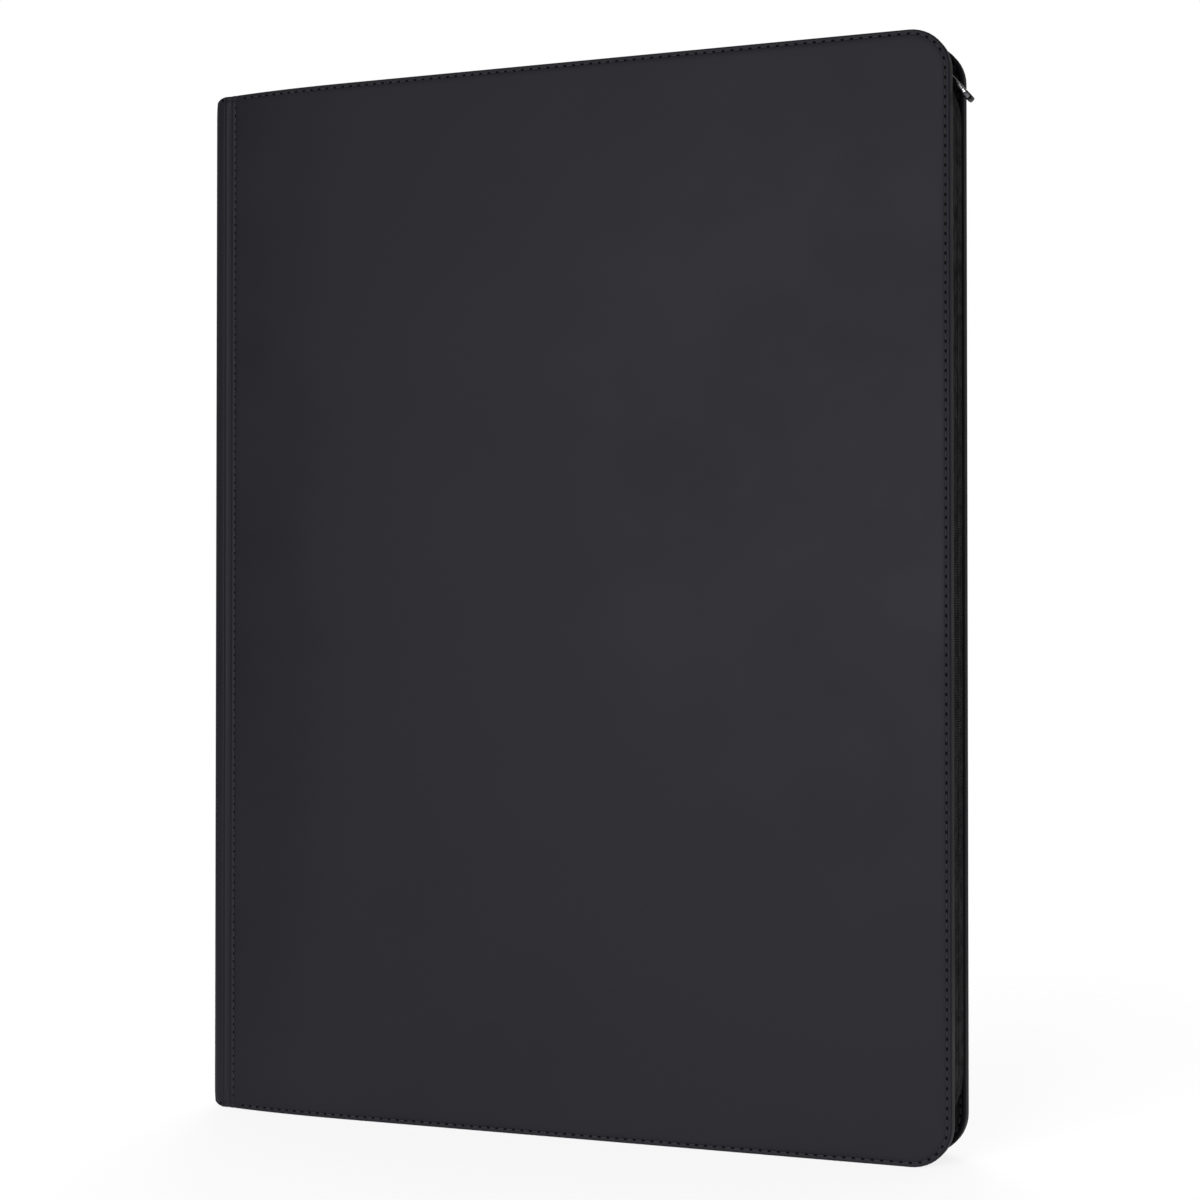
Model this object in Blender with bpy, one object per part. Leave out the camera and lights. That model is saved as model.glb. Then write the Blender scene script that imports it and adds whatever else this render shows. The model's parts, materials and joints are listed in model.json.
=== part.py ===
"""Zip-up binder for trading cards: two padded covers on a rounded spine, twenty fixed
nine-pocket pages, and a coil zip round the three open sides.

Metres, +Z up. The binder stands on its tail edges. The spine is at -X, the fore edge at +X,
the front cover faces -Y, and the origin is under the middle of the whole object."""

import math

import bpy
from mathutils import Matrix, Vector

GAP = 0.0003  # between pieces that touch

# Pages, which the covers are sized to
COLUMNS = ROWS = 3  # pockets in a page
POCKET_WIDTH = 0.0700  # for cards of 63 by 88 mm
POCKET_HEIGHT = 0.0960
PAGE_SEAM = 0.0030  # welded strip round and between the pockets
PAGE_COUNT = 20
PAGE_THICKNESS = 0.00033
PAGE_PITCH = 0.00066
PAGE_CORNER = 0.0040
MARGIN_WIDTH = 0.0080  # the soft margin that each page bends in
MARGIN_BASE = 0.0008
PAGE_AXIS_GAP = 0.0007  # from the binding strip to the axes that the outer pages turn on

# Covers
HEAD_SPACE = 0.0250  # from the pages' head and tail to the covers' edges
FORE_SPACE = 0.0195  # from the pages' fore edges to the covers' edges
PAGE_CLEARANCE = 0.001365  # from the outer pages to the linings
CORNER_RADIUS = 0.0128  # the two corners of each cover at the fore edge
SKIN = 0.0008
PADDING = 0.0010
PADDING_EDGE = 0.0003  # the padding is shaved to this where it ends near the hinge
BOARD = 0.0020
LINING = 0.0005
TURN_IN = 0.0010  # wall that the skin leaves when it is folded round the edge
LINING_MARGIN = 0.0020  # from the hinge stitching to the lining
HINGE_DROP = 0.0032  # how far the outer face falls at the hinge stitching
FALL_LENGTH = 0.0450  # the width over which it falls
FALL_POWER = 2.2

# Hinges and spine
SKIN_OVERHANG = 0.0012  # the cover's skin reaches past its stitching
CREASE_OFFSET = 0.0028  # from the stitching to the fold that the cover turns on
FOLD_DEPTH = 0.0008  # of the fold below the outer face at the hinge
SPINE_START = 0.0033  # the rounded spine begins this far past the stitching
SPINE_BULGE = 0.0077
SPINE_BOARD = 0.0012
SPINE_BOARD_INSET = 0.0030  # at head and tail
SPINE_LINING_INSET = 0.0015
BINDING_STRIP = 0.0020
BINDING_STRIP_INSIDE = 0.0015  # how far it stands past the stitching, into the binder
BINDING_OVERLAP = 0.0030  # it is this much longer than the pages at each end

# Zip
ZIP_RECESS = 0.0012  # from a cover's edge to the middle of the tape
ZIP_CORNER = 0.0260  # the zip rounds the corners in wider bends than the covers do
ZIP_END = 0.0140  # from the hinge stitching to the ends of the tapes
TAPE = 0.0006
TAPE_EDGE = 0.0025  # from the parting plane to the tape's free edge
COIL_SECTION = 0.0011
COIL_SETBACK = 0.0050  # from the tape's end to the coil's end
STOP_LENGTH = 0.0030
STOP_SECTION = 0.0018

# Slider and pull
SLIDER_ELEVATION = math.radians(41.2)  # at rest on the upper bend, from its lower end
WING = 0.0006  # thickness of the slider's plates
WING_CLEARANCE = 0.0003
WING_WIDTH = 0.0058
WING_TAIL_WIDTH = 0.0046
NECK_WIDTH = 0.0006
SLIDER_HEAD = 0.0005  # the plates' reach above the arch
SLIDER_BELOW = 0.0062  # the plates' reach below the pull's pivot
NECK_LENGTH = 0.0044
ARCH_BAR = 0.0008
ARCH_WIDTH = 0.0016
ARCH_POST = 0.0009
PULL_LENGTH = 0.0156
PULL_WIDTH = 0.0050
PULL_THICKNESS = 0.0010
PULL_BAR = 0.0010  # the bar that turns under the arch, and the sides of the window
PULL_WINDOW_CLEARANCE = 0.0004  # on each side of the arch
PULL_TIP = 0.0022
PULL_TIP_THICKNESS = 0.0020

FRONT, BACK = -1, 1
CORNER_STEPS = 5
BEND_STEPS = 15

# Sizes worked out from those above
PAGE_WIDTH = COLUMNS * POCKET_WIDTH + (COLUMNS + 1) * PAGE_SEAM
PAGE_HEIGHT = ROWS * POCKET_HEIGHT + (ROWS + 1) * PAGE_SEAM
PAGE_BLOCK = (PAGE_COUNT - 1) * PAGE_PITCH + PAGE_THICKNESS
COVER_HEIGHT = PAGE_HEIGHT + 2 * HEAD_SPACE
COVER_WIDTH = BINDING_STRIP_INSIDE + MARGIN_WIDTH + PAGE_WIDTH + FORE_SPACE
COVER_THICKNESS = SKIN + GAP + PADDING + GAP + BOARD + GAP + LINING
COVER_INSIDE = PAGE_BLOCK / 2 + PAGE_CLEARANCE  # from the parting plane
HALF = COVER_INSIDE + COVER_THICKNESS
COIL_CLEARANCE = NECK_WIDTH / 2 + GAP
BAR_SWEEP = math.hypot(PULL_BAR, PULL_THICKNESS) / 2
ARCH_SPACE = BAR_SWEEP + GAP  # round the pivot, to the arch and to the slider's plate
ARCH_REACH = ARCH_SPACE + ARCH_POST  # along the zip, from the pivot
PULL_WINDOW_HALF = ARCH_WIDTH / 2 + PULL_WINDOW_CLEARANCE
PULL_WINDOW_END = math.hypot(ARCH_SPACE + ARCH_BAR, ARCH_REACH) + PULL_THICKNESS / 2 + GAP
SLIDER_ABOVE = ARCH_REACH + SLIDER_HEAD

# Places worked out from them
SPINE_REACH = SPINE_START + SPINE_BULGE
WING_FACE = COIL_SECTION / 2 + WING_CLEARANCE + WING  # from the tape's middle
PIVOT_RADIUS = ZIP_CORNER + WING_FACE + ARCH_SPACE  # round the bend's centre
PULL_REACH = ((PIVOT_RADIUS + PULL_THICKNESS / 2) * math.cos(SLIDER_ELEVATION)
              + PULL_LENGTH * math.sin(SLIDER_ELEVATION) - ZIP_RECESS - ZIP_CORNER)
HINGE_X = SPINE_REACH - (SPINE_REACH + COVER_WIDTH + max(PULL_REACH, 0)) / 2
FORE_X = HINGE_X + COVER_WIDTH
HINGE_HALF = HALF - HINGE_DROP
FOLD_X = HINGE_X - CREASE_OFFSET
FOLD_Y = HINGE_HALF - FOLD_DEPTH
PAGE_ROOT_X = HINGE_X + BINDING_STRIP_INSIDE + MARGIN_WIDTH
PAGE_AXIS_X = HINGE_X + BINDING_STRIP_INSIDE + PAGE_AXIS_GAP
BEND_CENTRE = Vector((FORE_X - ZIP_RECESS - ZIP_CORNER, 0,
                      COVER_HEIGHT - ZIP_RECESS - ZIP_CORNER))


def material(name, colour, roughness, metallic=0.0):
    """A plain Principled finish."""
    made = bpy.data.materials.new(name)
    made.use_nodes = True
    shader = made.node_tree.nodes["Principled BSDF"]
    shader.inputs["Base Color"].default_value = (*colour, 1.0)
    shader.inputs["Roughness"].default_value = roughness
    shader.inputs["Metallic"].default_value = metallic
    return made


def axis_empty(name, place, parent=None):
    """An empty on a joint's axis, for the pieces that turn on it."""
    empty = bpy.data.objects.new(name, None)
    bpy.context.collection.objects.link(empty)
    empty.parent = parent
    empty.location = Vector(place) - (parent.matrix_world.translation if parent else Vector())
    bpy.context.view_layer.update()
    return empty


def solid(name, points, faces, finish=None, axis=None):
    """A closed mesh from world points, hung on its joint's empty."""
    mesh = bpy.data.meshes.new(name)
    mesh.from_pydata([tuple(p) for p in points], [], faces)
    outward = sum((face.center.dot(face.normal) * face.area for face in mesh.polygons))
    if outward < 0:
        mesh.flip_normals()
    mesh.materials.append(finish)
    made = bpy.data.objects.new(name, mesh)
    bpy.context.collection.objects.link(made)
    if axis:
        mesh.transform(Matrix.Translation(-axis.matrix_world.translation))
        made.parent = axis
    return made


def as_tool(made):
    """Marks an object as a guide that only shapes another one."""
    made.hide_render = True
    made.display_type = "WIRE"
    return made


def combine(made, operation, *tools):
    """Adds or cuts the tools, one Boolean each."""
    for tool in tools:
        step = made.modifiers.new(tool.name, "BOOLEAN")
        step.operation = operation
        step.object = as_tool(tool)


def smooth(made):
    """Smooth shading that keeps edges over 30 degrees sharp."""
    made.data.shade_smooth()
    made.data.set_sharp_from_angle(angle=math.radians(30))


def prism(name, outline, low, high, along, finish=None, axis=None):
    """Extrudes a flat outline from low to high along X, Y or Z. The outline holds the other
    two coordinates, in their X, Y, Z order."""
    place = {"x": lambda a, b, c: (c, a, b), "y": lambda a, b, c: (a, c, b),
             "z": lambda a, b, c: (a, b, c)}[along]
    count = len(outline)
    points = [place(a, b, low) for a, b in outline] + [place(a, b, high) for a, b in outline]
    faces = [tuple(reversed(range(count))), tuple(range(count, 2 * count))]
    faces += [(i, (i + 1) % count, (i + 1) % count + count, i + count) for i in range(count)]
    return solid(name, points, faces, finish, axis)


def block(name, low, high, finish=None, axis=None):
    """A rectangular solid between two corners."""
    outline = [(low[0], low[1]), (high[0], low[1]), (high[0], high[1]), (low[0], high[1])]
    return prism(name, outline, low[2], high[2], "z", finish, axis)


def strip(name, sections, finish=None, axis=None):
    """Joins rectangular sections, each given by its four corners in order."""
    points = [corner for section in sections for corner in section]
    last = 4 * (len(sections) - 1)
    faces = [(3, 2, 1, 0), (last, last + 1, last + 2, last + 3)]
    for start in range(0, last, 4):
        for side in range(4):
            after = (side + 1) % 4
            faces.append((start + side, start + after, start + 4 + after, start + 4 + side))
    return solid(name, points, faces, finish, axis)


def outer_face(x):
    """Distance of a cover's outer face from the parting plane: flat, and falling at the hinge."""
    rest = max(0.0, 1 - max(0.0, x - HINGE_X) / FALL_LENGTH)
    return HALF - HINGE_DROP * rest ** FALL_POWER


def where_fallen(fall):
    """The x at which a cover's outer face has fallen this far."""
    return HINGE_X + FALL_LENGTH * (1 - min(1.0, fall / HINGE_DROP) ** (1 / FALL_POWER))


def panel(name, side, start, inset, inner, outer, finish=None, axis=None):
    """A layer of a cover from x = start to the fore edge less its inset, with round corners.
    inner is a distance from the parting plane, and outer is a function of x that gives one."""
    end = FORE_X - inset
    radius = CORNER_RADIUS - inset
    falls = [HINGE_X + FALL_LENGTH * share for share in (0, 0.1, 0.2, 0.32, 0.45, 0.6, 0.8, 1.0)]
    runs = [(x, 0.0) for x in [start] + [x for x in falls if x > start + GAP]]
    for step in range(CORNER_STEPS + 1):
        turn = math.pi / 2 * step / CORNER_STEPS
        runs.append((end - radius + radius * math.sin(turn), radius * (1 - math.cos(turn))))
    sections = []
    for x, cut in runs:
        low, high = inset + cut, COVER_HEIGHT - inset - cut
        near, far = side * inner, side * outer(x)
        sections.append([(x, near, low), (x, far, low), (x, far, high), (x, near, high)])
    return strip(name, sections, finish, axis)


def cover(word, side, axis=None):
    """Skin folded round padding, greyboard and lining."""
    hollow_start = HINGE_X + LINING_MARGIN - GAP
    skin = panel(f"{word}_cover_skin", side, HINGE_X - SKIN_OVERHANG, 0.0, COVER_INSIDE,
                 outer_face, leatherette, axis)
    hollow = panel(f"{word}_cover_hollow", side, hollow_start, TURN_IN,
                   COVER_INSIDE - 2 * GAP, lambda x: outer_face(x) - SKIN)
    combine(skin, "DIFFERENCE", hollow)
    inset = TURN_IN + GAP
    board_inner = COVER_INSIDE + LINING + GAP
    padding_inner = board_inner + BOARD + GAP
    panel(f"{word}_cover_padding", side, where_fallen(PADDING - PADDING_EDGE), inset, padding_inner,
          lambda x: outer_face(x) - SKIN - GAP, foam, axis)
    panel(f"{word}_cover_board", side, where_fallen(PADDING + GAP), inset, board_inner,
          lambda x: board_inner + BOARD, greyboard, axis)
    panel(f"{word}_cover_lining", side, HINGE_X + LINING_MARGIN, inset, COVER_INSIDE,
          lambda x: COVER_INSIDE + LINING, lining_cloth, axis)


def arched_shell(name, outside, thickness, inset, finish, axis):
    """A half-round shell for the spine, outside metres within the spine's outer surface."""
    steps = 16
    outer, inner = [], []
    for step in range(steps + 1):
        turn = math.pi * (step / steps - 0.5)
        for points, depth in ((outer, outside), (inner, outside + thickness)):
            points.append((HINGE_X - SPINE_START - (SPINE_BULGE - depth) * math.cos(turn),
                           (HINGE_HALF - depth) * math.sin(turn)))
    made = prism(name, outer + inner[::-1], inset, COVER_HEIGHT - inset, "z", finish, axis)
    smooth(made)


def spine(axis):
    """Rounded skin and board, the flat inner lining and the strip that holds the pages."""
    arched_shell("spine_skin", 0.0, SKIN, 0.0, leatherette, axis)
    arched_shell("spine_board", SKIN + GAP, SPINE_BOARD, SPINE_BOARD_INSET, greyboard, axis)
    strip_outside = BINDING_STRIP_INSIDE - BINDING_STRIP
    lining_half = COVER_INSIDE - GAP
    block("spine_lining",
          (HINGE_X + strip_outside - GAP - LINING, -lining_half, SPINE_LINING_INSET),
          (HINGE_X + strip_outside - GAP, lining_half, COVER_HEIGHT - SPINE_LINING_INSET),
          lining_cloth, axis)
    strip_half = lining_half - GAP
    block("page_binding_strip",
          (HINGE_X + strip_outside, -strip_half, HEAD_SPACE - BINDING_OVERLAP),
          (HINGE_X + BINDING_STRIP_INSIDE, strip_half, COVER_HEIGHT - HEAD_SPACE + BINDING_OVERLAP),
          lining_cloth, axis)


def page_margins(axis):
    """One comb of soft film: a base welded to the binding strip, and a tongue for each page."""
    base = HINGE_X + BINDING_STRIP_INSIDE + GAP
    tongue_start, tongue_end = base + MARGIN_BASE, PAGE_ROOT_X - GAP
    outline = [(base, PAGE_BLOCK / 2), (base, -PAGE_BLOCK / 2)]
    for page in range(PAGE_COUNT):
        low = page * PAGE_PITCH - PAGE_BLOCK / 2
        high = low + PAGE_THICKNESS
        outline += [(tongue_start, low), (tongue_end, low), (tongue_end, high)]
        outline += [(tongue_start, high)]
    outline = [point for i, point in enumerate(outline) if point not in outline[:i]]
    prism("page_margins", outline, HEAD_SPACE, HEAD_SPACE + PAGE_HEIGHT, "z", page_film, axis)


def pages(spine_axis):
    """Twenty stiff leaves of three by three side-loading pockets. Each turns on its own axis in
    its margin, an inner one further from the strip than an outer one, so that they stack."""
    left, right = PAGE_ROOT_X, PAGE_ROOT_X + PAGE_WIDTH
    low, high = HEAD_SPACE, HEAD_SPACE + PAGE_HEIGHT
    outline = [(left, low)]
    for step in range(4):
        turn = math.pi / 2 * step / 3
        outline.append((right - PAGE_CORNER * (1 - math.sin(turn)),
                        low + PAGE_CORNER * (1 - math.cos(turn))))
    for step in range(4):
        turn = math.pi / 2 * step / 3
        outline.append((right - PAGE_CORNER * (1 - math.cos(turn)),
                        high - PAGE_CORNER * (1 - math.sin(turn))))
    outline.append((left, high))
    first = prism("page_01", outline, -PAGE_THICKNESS / 2, PAGE_THICKNESS / 2, "y", page_film)
    leaves = [first]
    for number in range(2, PAGE_COUNT + 1):
        leaf = bpy.data.objects.new(f"page_{number:02d}", first.data)
        bpy.context.collection.objects.link(leaf)
        leaves.append(leaf)
    for number, leaf in enumerate(leaves):
        from_outside = min(number, PAGE_COUNT - 1 - number)
        middle = (number - (PAGE_COUNT - 1) / 2) * PAGE_PITCH
        leaf.parent = axis_empty(f"{leaf.name}_axis", (PAGE_AXIS_X + from_outside * PAGE_PITCH,
                                                       middle, 0), spine_axis)
        leaf.location.x = -leaf.parent.matrix_world.translation.x


def zip_path(start):
    """The zip's middle line round head, fore edge and tail, each point with its normal."""
    path = [((start, COVER_HEIGHT - ZIP_RECESS), (0, 1))]
    for centre_z, quarter in ((BEND_CENTRE.z, 0), (COVER_HEIGHT - BEND_CENTRE.z, 1)):
        for step in range(BEND_STEPS + 1):
            turn = math.pi / 2 * (quarter + step / BEND_STEPS)
            normal = (math.sin(turn), math.cos(turn))
            path.append(((BEND_CENTRE.x + ZIP_CORNER * normal[0],
                          centre_z + ZIP_CORNER * normal[1]), normal))
    path.append(((start, ZIP_RECESS), (0, -1)))
    return path


def zip_wall(name, side, start, thickness, near, far, finish, axis):
    """A strip that follows the zip's line, between two distances from the parting plane."""
    sections = []
    for (x, z), normal in zip_path(start):
        out, back = [(x + s * thickness / 2 * normal[0], z + s * thickness / 2 * normal[1])
                     for s in (1, -1)]
        sections.append([(out[0], side * near, out[1]), (out[0], side * far, out[1]),
                         (back[0], side * far, back[1]), (back[0], side * near, back[1])])
    strip(name, sections, finish, axis)


def zip_half(word, side, axis=None):
    """Woven tape, nylon coil and the two crimped stops of one cover."""
    start = HINGE_X + ZIP_END
    coil_far = TAPE_EDGE - GAP
    zip_wall(f"{word}_zip_tape", side, start, TAPE, TAPE_EDGE, COVER_INSIDE - GAP, tape_cloth,
             axis)
    zip_wall(f"{word}_zip_coil", side, start + COIL_SETBACK, COIL_SECTION, COIL_CLEARANCE,
             coil_far, coil_nylon, axis)
    stop_start = start + COIL_SETBACK - GAP - STOP_LENGTH
    y_low, y_high = sorted((side * COIL_CLEARANCE, side * coil_far))
    for end, z in (("top", COVER_HEIGHT - ZIP_RECESS), ("bottom", ZIP_RECESS)):
        block(f"{word}_zip_{end}_stop", (stop_start, y_low, z - STOP_SECTION / 2),
              (stop_start + STOP_LENGTH, y_high, z + STOP_SECTION / 2), gunmetal, axis)


def wing(name, near, finish, axis):
    """One of the slider's plates, curved like the bend, wide at its shoulder."""
    taper = WING_WIDTH - WING_TAIL_WIDTH
    stations = [(-SLIDER_BELOW, WING_TAIL_WIDTH), (-SLIDER_BELOW / 2, WING_TAIL_WIDTH + taper / 3),
                (0.0, WING_TAIL_WIDTH + 2 * taper / 3), (SLIDER_ABOVE - taper, WING_WIDTH),
                (SLIDER_ABOVE, WING_TAIL_WIDTH)]
    sections = []
    for along, width in stations:
        turn = along / ZIP_CORNER
        out, back = [(r * math.cos(turn), r * math.sin(turn)) for r in (near + WING, near)]
        sections.append([(out[0], -width / 2, out[1]), (out[0], width / 2, out[1]),
                         (back[0], width / 2, back[1]), (back[0], -width / 2, back[1])])
    made = strip(name, sections, finish)
    made.parent = axis
    return made


def slider(axis):
    """Two curved plates on a neck, with the arch that holds the pull. The axis is the bend's
    centre, and its own +X runs out through the pull's pivot."""
    face = ZIP_CORNER + WING_FACE
    made = wing("zip_slider", face - WING, gunmetal, axis)
    inner = wing("slider_inner_wing", ZIP_CORNER - WING_FACE, None, axis)
    half_neck = NECK_WIDTH / 2
    neck = block("slider_neck",
                 (ZIP_CORNER - WING_FACE + WING / 2, -half_neck, -NECK_LENGTH / 2),
                 (face - WING / 2, half_neck, NECK_LENGTH / 2))
    arch_in = PIVOT_RADIUS + ARCH_SPACE
    arch_out = arch_in + ARCH_BAR
    root = face - WING / 2
    arch = prism("slider_arch",
                 [(root, -ARCH_REACH), (arch_out, -ARCH_REACH), (arch_out, ARCH_REACH),
                  (root, ARCH_REACH), (root, ARCH_SPACE), (arch_in, ARCH_SPACE),
                  (arch_in, -ARCH_SPACE), (root, -ARCH_SPACE)],
                 -ARCH_WIDTH / 2, ARCH_WIDTH / 2, "y")
    for tool in (neck, arch):
        tool.parent = axis
    combine(made, "UNION", inner, neck, arch)


def pull(slider_axis):
    """A flat tab with a thick end, hooked under the arch by the bar beyond its window."""
    axis = bpy.data.objects.new("pull_swing_axis", None)
    bpy.context.collection.objects.link(axis)
    axis.parent = slider_axis
    axis.location = (PIVOT_RADIUS, 0, 0)
    half_bar, half_width, half_thick = PULL_BAR / 2, PULL_WIDTH / 2, PULL_THICKNESS / 2
    half_neck = PULL_WINDOW_HALF + PULL_BAR
    shoulder = PULL_WINDOW_END + abs(half_width - half_neck)
    outline = [(-half_neck, half_bar), (half_neck, half_bar), (half_neck, -PULL_WINDOW_END),
               (half_width, -shoulder), (half_width, -PULL_LENGTH),
               (-half_width, -PULL_LENGTH), (-half_width, -shoulder),
               (-half_neck, -PULL_WINDOW_END)]
    tab = prism("zip_pull", outline, -half_thick, half_thick, "x", gunmetal)
    window = block("pull_window", (-PULL_THICKNESS, -PULL_WINDOW_HALF, -PULL_WINDOW_END),
                   (PULL_THICKNESS, PULL_WINDOW_HALF, -half_bar))
    tip = block("pull_tip", (half_thick - PULL_TIP_THICKNESS, -half_width, -PULL_LENGTH),
                (half_thick, half_width, PULL_TIP - PULL_LENGTH))
    for part in (tab, window, tip):
        part.parent = axis
    combine(tab, "DIFFERENCE", window)
    combine(tab, "UNION", tip)


for leftover in list(bpy.data.objects):
    bpy.data.objects.remove(leftover)

leatherette = material("leatherette", (0.026, 0.025, 0.031), 0.55)
foam = material("foam", (0.62, 0.60, 0.55), 0.95)
greyboard = material("greyboard", (0.38, 0.36, 0.33), 0.9)
lining_cloth = material("lining_cloth", (0.018, 0.018, 0.021), 0.85)
page_film = material("page_film", (0.05, 0.05, 0.055), 0.3)
tape_cloth = material("tape_cloth", (0.006, 0.006, 0.007), 0.9)
coil_nylon = material("coil_nylon", (0.008, 0.008, 0.009), 0.45)
gunmetal = material("gunmetal", (0.22, 0.22, 0.24), 0.3, 1.0)

rear_hinge = axis_empty("rear_hinge_axis", (FOLD_X, FOLD_Y, 0))
front_hinge = axis_empty("front_hinge_axis", (FOLD_X, -FOLD_Y, 0), rear_hinge)
zip_bend = axis_empty("zip_bend_axis", BEND_CENTRE)

cover("back", BACK)
zip_half("back", BACK)
spine(rear_hinge)
page_margins(rear_hinge)
pages(rear_hinge)
cover("front", FRONT, front_hinge)
zip_half("front", FRONT, front_hinge)
slider(zip_bend)
pull(zip_bend)
zip_bend.rotation_euler.y = -SLIDER_ELEVATION
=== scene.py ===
import json
import math
import random

import bmesh
import bpy
import numpy as np
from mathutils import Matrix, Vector


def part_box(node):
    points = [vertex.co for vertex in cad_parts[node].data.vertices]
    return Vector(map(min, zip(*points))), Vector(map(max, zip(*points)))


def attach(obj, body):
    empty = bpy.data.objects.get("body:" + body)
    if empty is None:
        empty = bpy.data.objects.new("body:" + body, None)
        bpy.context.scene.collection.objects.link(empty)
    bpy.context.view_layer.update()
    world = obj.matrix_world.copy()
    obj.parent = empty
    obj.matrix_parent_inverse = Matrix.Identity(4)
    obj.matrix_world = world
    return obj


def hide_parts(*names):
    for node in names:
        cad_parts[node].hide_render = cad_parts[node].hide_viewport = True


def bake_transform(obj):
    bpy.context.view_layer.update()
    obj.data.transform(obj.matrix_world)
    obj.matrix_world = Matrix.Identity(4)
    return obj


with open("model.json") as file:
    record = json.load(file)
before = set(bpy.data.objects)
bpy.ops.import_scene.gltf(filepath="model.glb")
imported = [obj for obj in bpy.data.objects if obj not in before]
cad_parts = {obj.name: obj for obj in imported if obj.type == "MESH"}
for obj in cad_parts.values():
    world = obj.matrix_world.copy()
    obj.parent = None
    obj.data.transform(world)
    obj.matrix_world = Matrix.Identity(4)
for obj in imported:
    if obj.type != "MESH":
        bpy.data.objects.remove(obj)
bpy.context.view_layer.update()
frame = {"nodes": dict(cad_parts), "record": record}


# Cover boards and spine board: the greyboard stiffeners, cut from 2 mm and 1.2 mm recycled board
# and glued inside the skin. Their cut shape is right as it is, so they only get their finish.
MM = 0.001


def feed(finish, kind, feeds, output=0, **settings):
    """Adds a node to a finish. Each feed is a value, or another node's output."""
    made = finish.node_tree.nodes.new("ShaderNode" + kind)
    for key, value in settings.items():
        setattr(made, key, value)
    for key, value in feeds.items():
        if isinstance(value, bpy.types.NodeSocket):
            finish.node_tree.links.new(value, made.inputs[key])
        else:
            made.inputs[key].default_value = value
    return made.outputs[output]


def new_finish(name, roughness, metallic=0.0, specular=0.5):
    """A finish with its shader, and the piece's own coordinates to place its grain by."""
    made = bpy.data.materials.new(name)
    made.use_nodes = True
    shader = made.node_tree.nodes["Principled BSDF"]
    shader.inputs["Roughness"].default_value = roughness
    shader.inputs["Metallic"].default_value = metallic
    shader.inputs["Specular IOR Level"].default_value = specular
    return made, shader, feed(made, "TexCoord", {}, "Object")


def spread(finish, value, low, high, start=0.35, end=0.65):
    """Stretches a noise's middle over low to high."""
    return feed(finish, "MapRange", {"Value": value, "From Min": start, "From Max": end,
                                     "To Min": low, "To Max": high})


def colour_between(finish, share, first, second):
    """Runs from the first colour to the second."""
    return feed(finish, "MixRGB", {"Fac": share, "Color1": (*first, 1), "Color2": (*second, 1)})


def mottle(finish, shader, noise, first, second):
    """Lets the shader's colour drift between two tones with a noise."""
    tint(finish, shader, colour_between(finish, spread(finish, noise, 0.0, 1.0), first, second))


def raise_grain(finish, shader, height, depth, strength=1.0):
    """Gives the surface this relief, depth metres high."""
    bump = feed(finish, "Bump", {"Height": height, "Distance": depth, "Strength": strength})
    finish.node_tree.links.new(bump, shader.inputs["Normal"])


def tint(finish, shader, colour):
    """Takes the shader's colour from a node."""
    finish.node_tree.links.new(colour, shader.inputs["Base Color"])


def vary_roughness(finish, shader, value):
    """Takes the shader's roughness from a node."""
    finish.node_tree.links.new(value, shader.inputs["Roughness"])


greyboard, shader, place = new_finish("greyboard", 0.92)
pulp = feed(greyboard, "TexNoise", {"Vector": place, "Scale": 420.0, "Detail": 5.0})
flecks = feed(greyboard, "TexVoronoi", {"Vector": place, "Scale": 900.0})
mottle(greyboard, shader, pulp, (0.27, 0.25, 0.225), (0.40, 0.375, 0.335))
vary_roughness(greyboard, shader, spread(greyboard, pulp, 0.86, 0.98))
raise_grain(greyboard, shader, flecks, 0.05 * MM)
for node in ("front_cover_board", "back_cover_board", "spine_board"):
    frame["nodes"][node].data.materials.clear()
    frame["nodes"][node].data.materials.append(greyboard)


# Cover padding: a 1 mm sheet of open-cell foam on each board, which makes the cover soft to hold.
# It is shaved thin where it ends near the hinge, and its cut edges are rounded by the skin.
FRONT, BACK = -1, 1
COVERS = (("front", FRONT), ("back", BACK))
joint_places = {joint["name"]: joint["pos_m"]
                for joint in frame["record"]["behaviour"]["joints"]}
skin_low, skin_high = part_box("front_cover_skin")
hinge_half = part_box("spine_skin")[1].y
CREASE_OFFSET = 2.8 * MM  # from the hinge stitching to the fold that a cover turns on
HINGE_X = joint_places["rear_hinge"][0] + CREASE_OFFSET
FORE_X = skin_high.x
HEIGHT = skin_high.z
HALF = -skin_low.y  # from the parting plane to a cover's outer face
COVER_INSIDE = -skin_high.y
HINGE_DROP = HALF - hinge_half
FALL_LENGTH = 45 * MM
FALL_POWER = 2.2
CORNER = 12.8 * MM
STITCH = 3.0 * MM  # pitch of the edge stitching
STITCH_INSET = 1.4 * MM


def outer_face(x):
    """Distance of a cover's outer face from the parting plane: flat, falling at the hinge."""
    rest = np.clip(1 - np.maximum(0.0, np.asarray(x) - HINGE_X) / FALL_LENGTH, 0.0, 1.0)
    return HALF - HINGE_DROP * rest ** FALL_POWER


def edge_stations(start, step):
    """Stations along a cover's edge: x along the head, turns round the upper corner, and z down
    the fore edge. The tail takes those of the head. They lie closer together at the hinge."""
    near = [start] + [x for x in HINGE_X + np.array([-0.8, -0.4, 0, 0.4, 0.8, 1.4, 2.2]) * MM
                      if x > start + 0.2 * MM]
    first = max(near[-1], start) + 0.8 * MM
    count = 2 * round((FORE_X - CORNER - first) / step / 2)
    run = near + list(np.linspace(first, FORE_X - CORNER, count + 1)[:-1])
    arc = (CORNER - STITCH_INSET) * math.pi / 2
    turns = list(np.linspace(0, math.pi / 2, round(arc / step) + 1))
    rows = 2 * round((HEIGHT - 2 * CORNER) / step / 2)
    side = list(np.linspace(HEIGHT - CORNER, CORNER, rows + 1)[1:-1])
    return run, turns, side


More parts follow.
